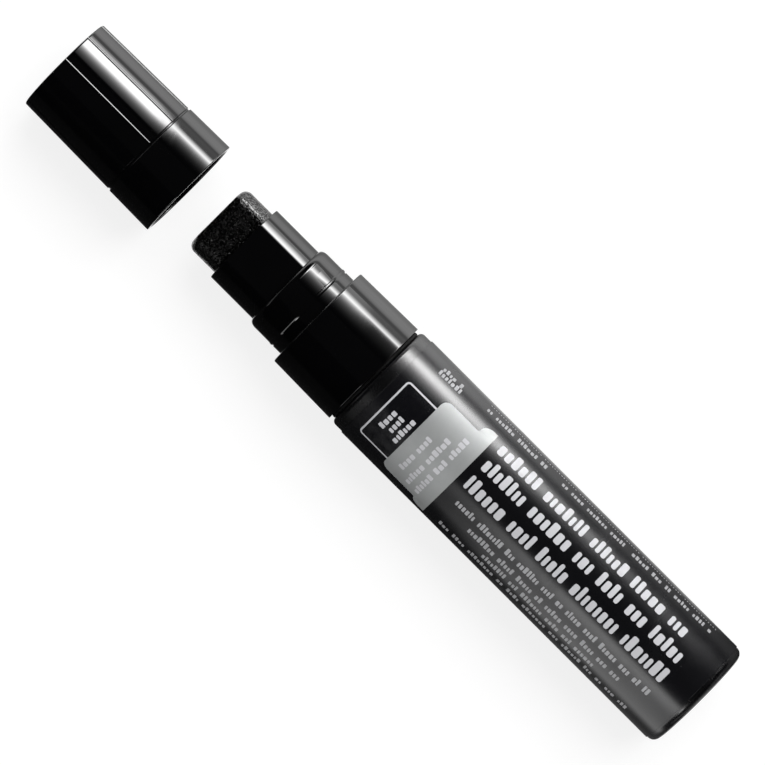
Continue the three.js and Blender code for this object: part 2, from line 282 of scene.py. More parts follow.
def newMaterial(name, **shader):
    material = bpy.data.materials.new(name)
    material.use_nodes = True
    tree = material.node_tree
    principled = tree.nodes["Principled BSDF"]
    for key, value in shader.items():
        principled.inputs[key.replace("_", " ")].default_value = value
    where = addNode(tree, "TexCoord")["Object"]
    link = lambda title, value: tree.links.new(value, principled.inputs[title])
    return material, tree, where, link


def bumped(tree, height, distance):
    return addNode(tree, "Bump", {"Height": height, "Distance": distance * mm, "Strength": 1.0})[0]


# The mould grain with sizes in millimetres
def grained(tree, where, grainSize, mottleSize, mottleShare):
    return useGroup(tree, mouldGrain, {
        "Vector": where, "Grain Size": grainSize * mm, "Mottle Size": mottleSize * mm, "Mottle Share": mottleShare,
    })


def marked(tree, where, look):
    return useGroup(tree, handlingMarks, {
        "Vector": where, "Smear Size": look["smearSize"] * mm, "Hairline Share": look["hairlines"],
    })["Marks"]


# Plastic: two close colours, a roughness that the handling marks move, a grain and dust
def makePlastic(name, look, **shader):
    material, tree, where, link = newMaterial(name, **shader)
    grain = grained(tree, where, look["grainSize"], look["mottleSize"], look["mottleShare"])
    dust = useGroup(tree, specks, {
        "Vector": where, "Spacing": look["dustSpacing"] * mm, "Radius": look["dustSize"],
        "Share": look["dustShare"],
    })
    body = colourMix(tree, grain["Mottle"], *look["colours"])
    link("Base Color", colourMix(tree, dust["Mask"], body, look["dustColour"]))
    rough = mapped(tree, marked(tree, where, look), 0.0, 1.0, *look["roughness"])
    link("Roughness", numberMix(tree, dust["Mask"], rough, look["dustRoughness"]))
    link("Normal", bumped(tree, grain["Height"], look["grainDepth"]))
    return material


plasticLook = {"grainDepth": 0.004, "dustSize": 0.03, "dustShare": 0.12, "dustRoughness": 0.7}
glossLook = {
    **plasticLook, "colours": ((0.001, 0.001, 0.0012, 1), (0.0018, 0.0018, 0.0021, 1)),
    "roughness": (0.04, 0.09), "grainSize": 0.9, "mottleSize": 7.0, "mottleShare": 0.85, "grainDepth": 0.006,
    "smearSize": 9.0, "hairlines": 0.5, "dustSpacing": 1.8, "dustColour": (0.06, 0.06, 0.06, 1),
}
satinLook = {
    **plasticLook, "colours": ((0.0014, 0.0014, 0.0018, 1), (0.0024, 0.0024, 0.003, 1)),
    "roughness": (0.27, 0.34), "grainSize": 0.22, "mottleSize": 5.0, "mottleShare": 0.35,
    "smearSize": 11.0, "hairlines": 0.3, "dustSpacing": 2.0, "dustColour": (0.05, 0.05, 0.05, 1),
}
filmLook = {
    **plasticLook, "colours": ((0.0034, 0.0034, 0.0045, 1), (0.0054, 0.0054, 0.0068, 1)),
    "roughness": (0.22, 0.29), "grainSize": 0.3, "mottleSize": 8.0, "mottleShare": 0.6, "grainDepth": 0.005,
    "smearSize": 14.0, "hairlines": 0.35, "dustSpacing": 2.2, "dustColour": (0.05, 0.05, 0.054, 1),
}
milkyLook = {
    **plasticLook, "colours": ((0.62, 0.62, 0.58, 1), (0.7, 0.7, 0.67, 1)),
    "roughness": (0.36, 0.48), "grainSize": 0.35, "mottleSize": 3.0, "mottleShare": 0.5, "grainDepth": 0.006,
    "smearSize": 6.0, "hairlines": 0.3, "dustSpacing": 1.6, "dustColour": (0.02, 0.02, 0.02, 1),
    "dustSize": 0.05, "dustShare": 0.2,
}
rubberLook = {
    **plasticLook, "colours": ((0.001, 0.001, 0.001, 1), (0.0022, 0.0022, 0.0022, 1)),
    "roughness": (0.6, 0.75), "grainSize": 0.12, "mottleSize": 1.2, "mottleShare": 0.3,
    "smearSize": 4.0, "hairlines": 0.0, "dustSpacing": 1.2, "dustColour": (0.03, 0.03, 0.03, 1),
    "dustSize": 0.05, "dustShare": 0.2,
}
glossBlack = makePlastic("glossBlackPlastic", glossLook, IOR=1.5)
satinBlack = makePlastic("satinBlackPlastic", satinLook, IOR=1.5, Specular_IOR_Level=0.6)
labelFilm = makePlastic("satinLabelFilm", filmLook, IOR=1.5)
milkyPlastic = makePlastic("milkyPlastic", milkyLook, IOR=1.5, Subsurface_Weight=0.15, Subsurface_Scale=0.0006)
softRubber = makePlastic("softRubber", rubberLook, IOR=1.45, Specular_IOR_Level=0.12)

inkLook = {
    "white": {"colours": ((0.7, 0.7, 0.72, 1), (0.56, 0.56, 0.59, 1)), "roughness": 0.38},
    "grey": {"colours": ((0.46, 0.46, 0.47, 1), (0.38, 0.38, 0.4, 1)), "roughness": 0.40},
    "silver": {"colours": ((0.43, 0.44, 0.44, 1), (0.36, 0.37, 0.37, 1)), "roughness": 0.48},
    "dark": {"colours": ((0.0035, 0.0035, 0.0048, 1), (0.005, 0.005, 0.0068, 1)), "roughness": 0.22},
    "flakeSize": 0.12, "patchSize": 1.4, "patchShare": 0.4, "patchRange": (0.3, 0.7), "smoother": 0.05,
    "rougher": 0.06, "inkDepth": 0.002,
}


# Printed ink: a slightly uneven coat with fine flakes in it
def makeInk(name, look, **shader):
    material, tree, where, link = newMaterial(name, **shader)
    coat = grained(tree, where, inkLook["flakeSize"], inkLook["patchSize"], inkLook["patchShare"])
    link("Base Color", colourMix(tree, coat["Height"], *look["colours"]))
    least, most = look["roughness"] - inkLook["smoother"], look["roughness"] + inkLook["rougher"]
    link("Roughness", mapped(tree, coat["Mottle"], *inkLook["patchRange"], least, most))
    link("Normal", bumped(tree, coat["Height"], inkLook["inkDepth"]))
    return material


whiteInk = makeInk("whiteInk", inkLook["white"], IOR=1.5)
greyInk = makeInk("greyInk", inkLook["grey"], IOR=1.5)
silverInk = makeInk("silverInk", inkLook["silver"], IOR=1.5, Metallic=0.35, Specular_IOR_Level=0.3)
darkInk = makeInk("darkInk", inkLook["dark"], IOR=1.5)

feltLook = {
    "colour": (0.0002, 0.0002, 0.0002, 1), "fibreColour": (0.0016, 0.0016, 0.0015, 1),
    "glintColour": (0.1, 0.1, 0.097, 1), "grainSize": 0.42, "clumpSize": 1.1, "clumpShare": 0.2, "depth": 0.32,
    "fibreFrom": 0.47, "fibreTo": 0.57, "poreFloor": 0.42, "poreRoughness": 0.2, "fibreRoughness": 0.12,
    "glintSize": 0.34, "glintClump": 1.76, "glintShare": 0.35, "glintFrom": 0.63, "glintTo": 0.68,
    "shine": 0.26, "coatFrom": 0.495, "coatTo": 0.525, "coatRoughness": 0.33,
}


# Felt soaked with paint: dark pores between glossy fibre ends, with glints painted as lighter colour on a few
def makeFelt(look):
    material, tree, where, link = newMaterial(
        "paintSoakedFelt", IOR=1.5, Specular_IOR_Level=look["shine"], Coat_Roughness=look["coatRoughness"])
    fibres = grained(tree, where, look["grainSize"], look["clumpSize"], look["clumpShare"])["Height"]
    glints = grained(tree, where, look["glintSize"], look["glintClump"], look["glintShare"])["Height"]
    lifted = mapped(tree, fibres, look["fibreFrom"], look["fibreTo"])
    glint = mapped(tree, glints, look["glintFrom"], look["glintTo"])
    body = colourMix(tree, lifted, look["colour"], look["fibreColour"])
    # the glints are painted highlights in the base colour
    link("Base Color", colourMix(tree, glint, body, look["glintColour"]))
    link("Roughness", numberMix(tree, lifted, look["poreRoughness"], look["fibreRoughness"]))
    link("Coat Weight", mapped(tree, fibres, look["coatFrom"], look["coatTo"]))
    # flat pore floors mirror only what is straight above, so they stay dark
    link("Normal", bumped(tree, calculate(tree, "MAXIMUM", fibres, look["poreFloor"]), look["depth"]))
    return material


blackFelt = makeFelt(feltLook)

steelLook = {
    "colours": ((0.56, 0.56, 0.57, 1), (0.44, 0.44, 0.45, 1)), "lineDepth": 0.001,
    "lineScale": (9000.0, 1200.0, 1200.0), "smearSize": 3.0, "hairlines": 0.6, "roughness": (0.16, 0.3),
}


def makeSteel(look):
    material, tree, where, link = newMaterial("brightSteel", Metallic=1.0)
    drawn = addNode(tree, "Mapping", {"Vector": where, "Scale": look["lineScale"]})
    marks = marked(tree, where, look)
    link("Base Color", colourMix(tree, marks, *look["colours"]))
    link("Roughness", mapped(tree, marks, 0.0, 1.0, *look["roughness"]))
    link("Normal", bumped(tree, noise(tree, drawn[0], 1.0, 2.0), look["lineDepth"]))
    return material


brightSteel = makeSteel(steelLook)
print("materials made")


# Geometry Nodes trees

def geometryTree(name, inputs):
    return newGroup(name, "GeometryNodeTree", {**inputs, "Material": "Material"}, {"Geometry": "Geometry"})


# Real geometry with the material on it ends each tree
def endTree(tree, given, geometry, result):
    real = addNode(tree, "GeometryNodeRealizeInstances", {"Geometry": geometry})[0]
    painted = addNode(tree, "GeometryNodeSetMaterial", {"Geometry": real, "Material": given["Material"]})
    feed(tree, result["Geometry"], painted[0])
    return tree


def smoothed(tree, geometry):
    return addNode(tree, "GeometryNodeSetShadeSmooth", {"Geometry": geometry})[0]


def tubeAlong(tree, curve, resolution, radius):
    section = addNode(tree, "GeometryNodeCurvePrimitiveCircle", {"Resolution": resolution, "Radius": radius})
    return addNode(tree, "GeometryNodeCurveToMesh", {
        "Curve": curve, "Profile Curve": section[0], "Fill Caps": True,
    })[0]


def ownPlace(tree):
    position = addNode(tree, "GeometryNodeInputPosition")[0]
    return addNode(tree, "SeparateXYZ", {0: position})


def movedTo(tree, geometry, x, y, z):
    place = combined(tree, x, y, z)
    return addNode(tree, "GeometryNodeSetPosition", {"Geometry": geometry, "Position": place})[0]


# y and z at a reach and an angle from the axis
def aboutAxis(do, reach, angle, height):
    return do("MULTIPLY", reach, do("SINE", angle)), do("MULTIPLY_ADD", reach, do("COSINE", angle), height)


ringInputs = {"Count": 6, "First": 0.0, "Axis Height": 0.0}


# Repeats one part round the axis and ends the tree
def ringOf(tree, given, part, result, do):
    place = combined(tree, z=given["Axis Height"])
    points = addNode(tree, "GeometryNodePoints", {"Count": given["Count"], "Position": place})
    index = addNode(tree, "GeometryNodeInputIndex")[0]
    first = do("MULTIPLY", given["First"], -1)
    turn = do("MULTIPLY_ADD", do("DIVIDE", index, given["Count"]), -2 * pi, first)
    placed = addNode(tree, "GeometryNodeInstanceOnPoints", {
        "Points": points[0], "Instance": smoothed(tree, part), "Rotation": combined(tree, turn),
    })
    return endTree(tree, given, placed[0], result)


# Long half-round ribs that lean in with the cap's draft
def makeRibTree():
    tree, given, result, do = geometryTree("ribRing", {
        **ringInputs, "Start": "Vector", "End": "Vector", "Radius": 0.00025,
    })
    line = addNode(tree, "GeometryNodeCurvePrimitiveLine", {"Start": given["Start"], "End": given["End"]})
    return ringOf(tree, given, tubeAlong(tree, line[0], 20, given["Radius"]), result, do)


# Snap ramps: each rises to a crisp rear edge and fades into the neck at its sides
def makeRampTree():
    tree, given, result, do = geometryTree("rampRing", {
        **ringInputs, "Rear": 0.0, "Neck Radius": 0.01, "Length": 0.003, "Width": 0.003, "Height": 0.0001,
        "Depth": 0.0004,
    })
    block = addNode(tree, "GeometryNodeMeshCube", {
        "Size": combined(tree, given["Length"], given["Width"], given["Depth"]),
        "Vertices X": 14, "Vertices Y": 18, "Vertices Z": 3,
    })
    x, y, z = ownPlace(tree)
    across = do("DIVIDE", do("MULTIPLY", y, 2), given["Width"])
    along = do("ADD", do("DIVIDE", x, given["Length"]), 0.5)
    sides = do("SUBTRACT", 1, do("POWER", across, 2))
    rise = do("MULTIPLY", do("MULTIPLY", along, sides), given["Height"])
    neckHeight = do("SQRT", do("SUBTRACT", do("POWER", given["Neck Radius"], 2), do("POWER", y, 2)))
    depth = do("SUBTRACT", z, do("MULTIPLY", given["Depth"], 0.5))
    height = do("ADD", do("ADD", neckHeight, rise), depth)
    place = do("SUBTRACT", do("ADD", x, given["Rear"]), do("MULTIPLY", given["Length"], 0.5))
    return ringOf(tree, given, movedTo(tree, block[0], place, y, height), result, do)


# A round wire wound about the axis
def makeCoilTree():
    tree, given, result, do = geometryTree("wireCoil", {
        "Front": 0.0, "Rise": 0.01, "Axis Height": 0.0, "Radius": 0.003, "Wire": 0.0005, "Curls": 7.0, "Steps": 200,
    })
    line = addNode(tree, "GeometryNodeCurvePrimitiveLine")
    fine = addNode(tree, "GeometryNodeResampleCurve", {"Curve": line[0], "Count": given["Steps"]})
    along = addNode(tree, "GeometryNodeSplineParameter")["Factor"]
    angle = do("MULTIPLY", do("MULTIPLY", along, given["Curls"]), 2 * pi)
    x = do("MULTIPLY_ADD", along, given["Rise"], given["Front"])
    wound = movedTo(tree, fine[0], x, *aboutAxis(do, given["Radius"], angle, given["Axis Height"]))
    tube = tubeAlong(tree, wound, 14, do("MULTIPLY", given["Wire"], 0.5))
    return endTree(tree, given, smoothed(tree, tube), result)


# Lays a flat print round the label: y is the way round and z the height above the film
def makeWrapTree():
    tree, given, result, do = geometryTree("printWrap", {"Flat": "Geometry", "Radius": 0.01, "Axis Height": 0.0})
    x, y, z = ownPlace(tree)
    angle, reach = do("DIVIDE", y, given["Radius"]), do("ADD", given["Radius"], z)
    bent = movedTo(tree, given["Flat"], x, *aboutAxis(do, reach, angle, given["Axis Height"]))
    return endTree(tree, given, bent, result)


# Roughens a dense mesh like cut felt
def makeFeltTree():
    tree, given, result, do = geometryTree("feltSurface", {
        "Smooth": "Geometry", "Grain Size": 0.0003, "Depth": 0.00005, "Seed": 3.0, "Middle": 0.5,
    })
    grain = addNode(tree, "TexNoise", {
        "Vector": addNode(tree, "GeometryNodeInputPosition")[0], "W": given["Seed"],
        "Scale": do("DIVIDE", 1, given["Grain Size"]), "Detail": 2.0,
    }, noise_dimensions="4D")
    height = do("MULTIPLY", do("SUBTRACT", grain[0], given["Middle"]), given["Depth"])
    normal = addNode(tree, "GeometryNodeInputNormal")[0]
    offset = addNode(tree, "VectorMath", {0: normal, 3: height}, operation="SCALE")
    moved = addNode(tree, "GeometryNodeSetPosition", {"Geometry": given["Smooth"], "Offset": offset[0]})
    return endTree(tree, given, moved[0], result)


ribTree = makeRibTree()
rampTree = makeRampTree()
coilTree = makeCoilTree()
wrapTree = makeWrapTree()
feltTree = makeFeltTree()


def grown(piece, tree, **values):
    modifier = piece.modifiers.new(tree.name, "NODES")
    modifier.node_group = tree
    inputs = [item for item in tree.interface.items_tree if item.in_out == "INPUT"]
    named = {item.name.replace(" ", ""): item.identifier for item in inputs}
    for key, value in values.items():
        modifier[named[key]] = value
    return settled(piece)


def grownPiece(name, tree, sharpAngle, **values):
    piece = grown(linked(name, bpy.data.meshes.new(name)), tree, AxisHeight=axisHeight * mm, **values)
    piece.data.set_sharp_from_angle(angle=radians(sharpAngle))
    return piece


# Cap

cap = {
    "mouthRadius": 10.65, "bandEnd": 10.52, "bandLength": 10.06, "stepLength": 0.5, "grooveDepth": 0.2,
    "grooveSlope": 0.16, "bandRound": (0.06, 0.05), "bodyRound": (0.05, 0.04), "bodyStart": 10.40,
    "bodyEnd": 10.10, "endEdge": 0.3, "mouthEdge": 0.22, "bore": 9.7, "snapPlace": 2.225, "snapHalf": 0.475,
    "snapDepth": 0.15, "linerMouth": 8.53, "linerSeat": 9.6, "linerSeatEnd": 9.4, "floorDepth": 31.02,
    "gateRadius": 1.5, "gateDepth": 0.12, "gateSlope": 0.1,
}
ribs = {"count": 10, "first": 4.0, "radius": 0.42, "height": 0.13, "setback": 0.02, "sharpAngle": 40}


def makeCapShell():
    end, mouth = ends("cap_shell")
    at = lambda depth, r: (mouth - depth, r)
    edge, lip, bore, band, body = pick(cap, "endEdge mouthEdge bore bandEnd bodyStart")
    bandRound, bodyRound, gate, snap = pick(cap, "bandRound bodyRound gateRadius snapDepth")
    grooveStart, grooveEnd = cap["bandLength"], cap["bandLength"] + cap["stepLength"]
    grooveFloor, slope = body - cap["grooveDepth"], cap["grooveSlope"]
    snapFrom, snapTo = cap["snapPlace"] - cap["snapHalf"], cap["snapPlace"] + cap["snapHalf"]
    gateFloor = end + cap["gateDepth"]
    profile = [
        at(cap["floorDepth"], 0), at(cap["floorDepth"], cap["linerSeatEnd"]),
        at(cap["linerMouth"], cap["linerSeat"]), at(cap["linerMouth"], bore),
        at(snapTo, bore), at(snapTo - snap, bore + snap), at(snapFrom + snap, bore + snap), at(snapFrom, bore),
        *roundCorner(mouth - lip, bore + lip, lip, -90, 0, 4),
        *roundCorner(mouth - lip, cap["mouthRadius"] - lip, lip, 0, 90, 6),
        at(grooveStart - bandRound[0], band), at(grooveStart, band - bandRound[1]),
        at(grooveStart + slope, grooveFloor), at(grooveEnd - slope, grooveFloor),
        at(grooveEnd, body - bodyRound[1]), at(grooveEnd + bodyRound[0], body),
        *roundCorner(end + edge, cap["bodyEnd"] - edge, edge, 90, 180),
        (end, gate + cap["gateSlope"]), (gateFloor, gate - cap["gateSlope"]), (gateFloor, 0),
    ]
    installed(turned("cap_body", profile, glossBlack), "cap", "gloss_black", "cap_shell")

    sunk = ribs["radius"] - ribs["height"]
    bars = grownPiece(
        "cap_ribs", ribTree, ribs["sharpAngle"], Count=ribs["count"], First=radians(ribs["first"]),
        Radius=ribs["radius"] * mm, Material=glossBlack,
        Start=((mouth - grooveEnd - ribs["setback"]) * mm, 0, (body - sunk) * mm),
        End=((end + edge * 0.5) * mm, 0, (cap["bodyEnd"] - sunk) * mm),
    )
    installed(bars, "cap", "gloss_black")


liner = {
    "bore": 8.9, "outer": 9.55, "draft": 0.2, "floor": 1.0, "lip": 0.25, "corner": 0.6, "edge": 0.1, "back": 0.2,
}


def makeLiner():
    end, mouth = ends("inner_cap")
    inner, outer, draft, lip, corner, edge, back = pick(liner, "bore outer draft lip corner edge back")
    base = end + liner["floor"]
    profile = [
        (base, 0), *roundCorner(base + corner, inner - draft - corner, corner, 180, 90, 5),
        *roundCorner(mouth - lip, inner + lip, lip, -90, 0, 4), (mouth, outer - edge), (mouth - edge, outer),
        (end + back, outer - draft), (end, outer - draft - back), (end, 0),
    ]
    installed(turned("cap_liner", profile, milkyPlastic), "cap", "natural_plastic", "inner_cap")


makeCapShell()
makeLiner()
print("cap made")

# Nib and holder

nib = {
    "radius": 7.5, "flat": 5.2, "edge": 1.5, "corner": 0.7, "leastCorner": 0.06, "faceCorner": 0.05,
    "exposed": 7.4, "step": 0.16, "around": 300,
}
nibSlots = {"depth": 0.8, "front": 20.42, "rear": 25.02, "width": 16}  # measured from the nib's front
feltRelief = {"GrainSize": 0.4 * mm, "Depth": 0.11 * mm, "Seed": 3.0, "Middle": 0.62}
holder = {
    "radius": 8.6, "flat": 7.35, "bore": 7.65, "boreFlat": 5.35, "length": 10.79, "edge": 0.14, "corner": 0.12,
    "around": 360, "spigot": 8.4, "spigotCorner": 0.01, "leadLength": 0.3, "leadDepth": 0.2, "support": 0.05,
    "lugFront": 15.79, "lugLength": 2.0, "lugWidth": 6.0, "lugHeight": 0.75, "lugRoot": 0.2,
}


# Section of a rod with two flats and softened corners, as (y, z) points
def flattedSection(radius, flat, corner, count):
    points = []
    for k in range(count):
        angle = 2 * pi * (k + 0.5) / count
        y, z = sin(angle), cos(angle)
        # distance to the smoothly joined circle and flats along this spoke
        low, high = 0.0, radius
        for _ in range(26):
            middle = (low + high) / 2
            outRound = max(0.0, middle - (radius - corner))
            outFlat = max(0.0, middle * abs(z) - (flat - corner))
            if hypot(outRound, outFlat) > corner:
                high = middle
            else:
                low = middle
        points.append((low * y, low * z))
    return points


def ringVerts(shape, x, section):
    return [shape.verts.new((x * mm, y * mm, (axisHeight + z) * mm)) for y, z in section]


def bridgeRings(shape, rings, closed=False):
    for ring, following in zip(rings, rings[1:] + (rings[:1] if closed else [])):
        for k in range(len(ring)):
            after = (k + 1) % len(ring)
            shape.faces.new((ring[k], ring[after], following[after], following[k]))


def makeNib():
    front, rear = ends("nib")
    radius, flat, edge, corner = pick(nib, "radius flat edge corner")
    # rings over the front face, then the round edge, then the sides
    stations = []
    for share in (0.02, *[0.1 + 0.05 * i for i in range(17)], 0.95):
        stations.append((front, (radius - edge) * share, (flat - edge) * share, nib["faceCorner"] * share))
    for back, inset in arc(edge, edge, -edge, -edge, 0, 90, 12):
        stations.append((front + back, radius - inset, flat - inset, max(corner - inset, nib["leastCorner"])))
    x = front + edge + nib["step"]
    while x < front + nib["exposed"]:
        stations.append((x, radius, flat, corner))
        x += nib["step"]
    stations.append((rear, radius, flat, corner))
    shape = bmesh.new()
    rings = [ringVerts(shape, place, flattedSection(*sizes, nib["around"])) for place, *sizes in stations]
    bridgeRings(shape, rings)
    shape.faces.new(rings[0])
    shape.faces.new(rings[-1])
    tip = finished("felt_nib", shape, blackFelt, sharpAngle=60)
    slotFront, slotRear = nibSlots["front"], nibSlots["rear"]
    for side in (1, -1):
        cutter = bmesh.new()
        addBlock(cutter, (slotRear - slotFront, nibSlots["width"], 2 * nibSlots["depth"]),
                 (front + (slotFront + slotRear) / 2, 0, axisHeight + side * flat))
        block = finished("slotCutter", cutter, blackFelt)
        cut = tip.modifiers.new("slot", "BOOLEAN")
        cut.operation, cut.object, cut.solver = "DIFFERENCE", block, "EXACT"
        settled(tip)
        bpy.data.objects.remove(block)
    grown(tip, feltTree, Material=blackFelt, **feltRelief)
    tip.data.shade_smooth()
    installed(tip, "nib", "black_felt", "nib")


def makeHolder():
    front, rear = ends("nib_holder")
    neckFront, edge, support = front + holder["length"], holder["edge"], holder["support"]
    section = lambda radius, flat, corner: flattedSection(radius, flat, holder[corner], holder["around"])
    outer = lambda inset: section(holder["radius"] - inset, holder["flat"] - inset, "corner")
    inner = lambda inset: section(holder["bore"] + inset, holder["boreFlat"] + inset, "corner")
    spigot = lambda inset: section(holder["spigot"] - inset, holder["spigot"] - inset, "spigotCorner")
    lip = arc(edge, edge, -edge, -edge, 0, 90, 4)
    stations = [
        *[(front + back, outer(inset)) for back, inset in lip], (front + edge + support, outer(0)),
        (neckFront - support, outer(0)), (neckFront, outer(0)), (neckFront, spigot(0)),
        (rear - holder["leadLength"], spigot(0)), (rear, spigot(holder["leadDepth"])), (rear, inner(0)),
        (front + edge + support, inner(0)), *[(front + back, inner(inset)) for back, inset in reversed(lip)],
    ]
    shape = bmesh.new()
    bridgeRings(shape, [ringVerts(shape, x, points) for x, points in stations], closed=True)
    lugHeight, root = holder["lugHeight"], holder["lugRoot"]
    for side in (1, -1):
        height = holder["boreFlat"] - (lugHeight - root) / 2
        addBlock(shape, (holder["lugLength"], holder["lugWidth"], lugHeight + root),
                 (front + holder["lugFront"] + holder["lugLength"] / 2, 0, axisHeight + side * height))
    installed(finished("nib_sleeve", shape, glossBlack), "barrel", "gloss_black", "nib_holder")


makeNib()
makeHolder()
print("nib and holder made")

# Neck, collar and gasket

neck = {
    "length": 8.23, "bore": 8.45, "radius": 9.45, "shoulderLength": 1.5, "shoulderDepth": 0.9,
    "beadRadius": 9.56, "beadWidth": 0.65, "beadSlope": 0.24, "beadSetback": 2.2, "beadFoot": 0.12,
    "beadRise": 0.05, "beadTop": 0.15, "grooveWidth": 0.25, "grooveFloor": 9.35, "rearRadius": 9.5, "fillet": 0.12,
}
ramps = {"count": 6, "first": 40, "length": 2.9, "width": 2.9, "height": 0.06, "depth": 0.5, "sharpAngle": 35}
collar = {
    "length": 14.6, "frontRadius": 11.225, "rearRadius": 11.45, "edge": 0.28, "rearEdge": 0.08,
    "spigotRadius": 9.95, "spigotLead": 0.4, "valveBore": 8.9, "ledge": 15.58,
}
gasket = {"outer": 10.75, "inner": 10.0, "edge": 0.2}


def makeHousing():
    front, rear = ends("front_housing")
    radius, shoulder, bead, foot, rise = pick(neck, "radius shoulderLength beadRadius beadFoot beadRise")
    lift = bead - radius
    face = front + neck["length"]  # the collar's front face
    collarRear = face + collar["length"]
    beadRear = face - neck["beadSetback"]
    beadFront, beadEnd = beadRear - neck["beadWidth"], beadRear - neck["beadSlope"]
    edge, back, spigot, lead = pick(collar, "edge rearEdge spigotRadius spigotLead")
    groove, fillet, valveFace = beadRear + neck["grooveWidth"], neck["fillet"], front + collar["ledge"]
    profile = [
        (front, neck["bore"]),
        *arc(front + shoulder, radius - neck["shoulderDepth"], -shoulder, neck["shoulderDepth"], 0, 90, 10),
        (beadFront - foot, radius), (beadFront - rise, radius + lift * 0.35), (beadFront + rise, bead - lift * 0.1),
        (beadFront + neck["beadTop"], bead), (beadEnd, bead), (beadRear, radius),
        (beadRear, neck["grooveFloor"]), (groove, neck["grooveFloor"]), (groove, neck["rearRadius"]),
        (face - fillet, neck["rearRadius"]), (face, neck["rearRadius"] + fillet),
        *roundCorner(face + edge, collar["frontRadius"] - edge, edge, 180, 92),
        *roundCorner(collarRear - back, collar["rearRadius"] - back, back, 90, 0, 3),
        (collarRear, spigot), (rear - lead, spigot), (rear, spigot - lead), (rear, collar["valveBore"]),
        (valveFace, collar["valveBore"]), (valveFace, neck["bore"]),
    ]
    installed(turned("neck_and_collar", profile, glossBlack), "barrel", "gloss_black", "front_housing")
    lugs = grownPiece(
        "neck_ramps", rampTree, ramps["sharpAngle"], Count=ramps["count"], First=radians(ramps["first"]),
        Rear=beadEnd * mm, NeckRadius=radius * mm, Length=ramps["length"] * mm, Width=ramps["width"] * mm,
        Height=ramps["height"] * mm, Depth=ramps["depth"] * mm, Material=glossBlack,
    )
    installed(lugs, "barrel", "gloss_black")


def makeGasket():
    front, rear = ends("barrel_gasket")
    outer, inner, edge = gasket["outer"], gasket["inner"], gasket["edge"]
    profile = [
        (front, inner), *roundCorner(front + edge, outer - edge, edge, 180, 90, 4),
        *roundCorner(rear - edge, outer - edge, edge, 90, 0, 4), (rear, inner),
    ]
    installed(turned("collar_gasket", profile, softRubber), "barrel", "black_rubber", "barrel_gasket")


makeHousing()
makeGasket()
print("neck and collar made")

# Barrel and label

barrel = {
    "radius": 11.55, "bore": 10.0, "shoulder": 1.0, "tail": 1.5, "tailWall": 1.6, "inside": 1.0,
    "gateRadius": 2.0, "gateDepth": 0.15, "gateSlope": (0.15, 0.1),
}
label = {
    "inner": 11.6, "outer": 11.734, "edge": 0.04, "seamAngle": 152, "seamWidth": 7, "seamRise": 0.5,
    "seamHeight": 0.05,
}


def makeBarrel():
    front, rear = ends("barrel")
    radius, bore, shoulder, tail, inside = pick(barrel, "radius bore shoulder tail inside")
    chamberEnd, gateFloor, gate = rear - barrel["tailWall"], rear - barrel["gateDepth"], barrel["gateRadius"]
    profile = [
        (chamberEnd, 0), *roundCorner(chamberEnd - inside, bore - inside, inside, 0, 90), (front, bore),
        *roundCorner(front + shoulder, radius - shoulder, shoulder, 180, 90, 12),
        *roundCorner(rear - tail, radius - tail, tail, 90, 0, 14),
        (rear, gate + barrel["gateSlope"][0]), (gateFloor, gate - barrel["gateSlope"][1]), (gateFloor, 0),
    ]
    installed(turned("ink_barrel", profile, satinBlack), "barrel", "satin_black", "barrel")


# The film's ends overlap in a seam low on the back
def seamLift(x, r, angle):
    past = (degrees(angle) - label["seamAngle"]) % 360
    if r < (label["inner"] + label["outer"]) / 2 or past > label["seamWidth"]:
        return 0
    rise = min(past / label["seamRise"], 1)
    return label["seamHeight"] * rise * (label["seamWidth"] - past) / label["seamWidth"]


def makeLabel():
    front, rear = ends("label_sleeve")
    inner, outer, edge = label["inner"], label["outer"], label["edge"]
    profile = [
        (front, inner), (front, outer - edge), (front + edge, outer), (rear - edge, outer), (rear, outer - edge),
        (rear, inner),
    ]
    film = turned("label_film", profile, labelFilm, steps=360, swell=seamLift)
    installed(film, "barrel", "label_film", "label_sleeve")


makeBarrel()
makeLabel()
print("barrel and label made")

# Print on the label, in millimetres: x from its front edge, y the way round from the top towards +Y

sample = {"from": 2.05, "to": 10.3, "low": -10.6, "high": 3.75, "corner": 0.85, "line": 0.36}
tab = {"from": 9.3, "step": 17.65, "to": 20.7, "low": -13.15, "high": 6.4, "stepLow": -15.35, "stepHigh": 8.8,
       "corner": 1.7, "fillet": 0.4, "reach": 2.2}
boldBlocks = {"height": 2.25, "tall": 3.05, "tallShare": 0.28, "width": (0.8, 1.45), "gap": 0.45, "space": 1.4,
              "group": (3, 8), "corner": 0.4, "seed": 11}
boldRows = ((5.85, 22.5, 72.2), (1.45, 22.5, 73.8), (-3.1, 22.5, 74.5))  # baseline, from, to
fineBlocks = {"height": 1.0, "tall": 1.4, "tallShare": 0.3, "width": (0.4, 0.72), "gap": 0.24, "space": 0.85,
              "group": (2, 8), "corner": 0.16, "seed": 5}
fineRows = ((-6.7, 23.8, 73.8), (-9.2, 28.9, 68.6), (-11.5, 34.0, 63.2), (-13.95, 24.2, 72.3),
            (11.6, 16.0, 33.2), (11.6, 35.2, 51.2), (11.6, 53.2, 74.0), (10.75, 5.2, 10.6), (9.3, 4.9, 11.2))
dotBlocks = {"height": 0.3, "tall": 0.3, "tallShare": 0.0, "width": (0.3, 0.3), "gap": 0.3, "space": 0.6,
             "group": (12, 30), "corner": 0.14, "seed": 7}
dotRows = ((14.35, 16.0, 74.0),)
upBlocks = {"height": 1.0, "tall": 1.3, "tallShare": 0.4, "width": (0.55, 0.95), "gap": 0.24, "space": 0.8,
            "group": (3, 6), "corner": 0.2, "seed": 3}
